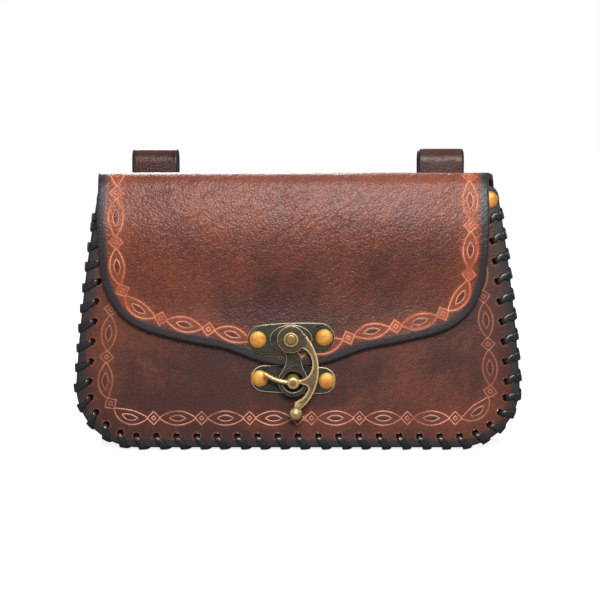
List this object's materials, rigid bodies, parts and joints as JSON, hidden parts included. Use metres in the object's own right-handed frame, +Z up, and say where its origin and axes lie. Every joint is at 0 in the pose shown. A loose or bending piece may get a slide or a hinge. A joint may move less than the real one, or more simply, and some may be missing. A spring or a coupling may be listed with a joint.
{
  "type": "belt pouch",
  "caption": "Leather belt pouch with a long flap, whip-laced edges, a laced-in gusset, strap loops for a belt and a swing clasp",
  "frame": {"origin": "bottom centre of the bounding box, where the pouch stands on its laced rims", "axes": "+X to the right as seen from the front, +Y to the back, towards the belt, +Z up"},
  "size_m": [0.2196, 0.0672, 0.1485],
  "materials": {
    "leather": "antiqued red-brown, tooled border, waxed",
    "gusset_leather": "thin, matt brown",
    "strap_leather": "dark brown, waxed, black edges",
    "thong": "near-black, slight sheen",
    "rivet_brass": "golden, lightly worn",
    "dark_steel": "blackened",
    "antique_brass": "darkened, bright on worn edges",
    "worn_brass": "worn bright"
  },
  "bodies": {
    "pouch": {"back_panel_flap": "leather", "front_panel": "leather", "gusset": "gusset_leather", "front_lace": "thong", "back_lace": "thong", "belt_loop_left": "strap_leather", "belt_loop_right": "strap_leather", "corner_rivet_front_left": "rivet_brass", "corner_rivet_front_right": "rivet_brass", "corner_rivet_back_left": "rivet_brass", "corner_rivet_back_right": "rivet_brass", "loop_rivet_left": "rivet_brass", "loop_rivet_right": "rivet_brass", "loop_pin_left_1": "dark_steel", "loop_pin_left_2": "dark_steel", "loop_pin_right_1": "dark_steel", "loop_pin_right_2": "dark_steel", "clasp_plate": "antique_brass", "clasp_tab": "antique_brass", "clasp_pivot": "antique_brass", "clasp_foot": "antique_brass", "clasp_post": "worn_brass", "clasp_plate_rivet_1": "rivet_brass", "clasp_plate_rivet_2": "rivet_brass", "clasp_foot_rivet_1": "rivet_brass", "clasp_foot_rivet_2": "rivet_brass"},
    "lever": {"clasp_lever": "antique_brass"}
  },
  "joints": [
    {"name": "clasp_swing", "type": "hinge", "parent": "pouch", "child": "lever", "pos_m": [-0.0033, -0.03015, 0.0562], "axis": [0, -1, 0], "range_deg": [0, 105]}
  ]
}
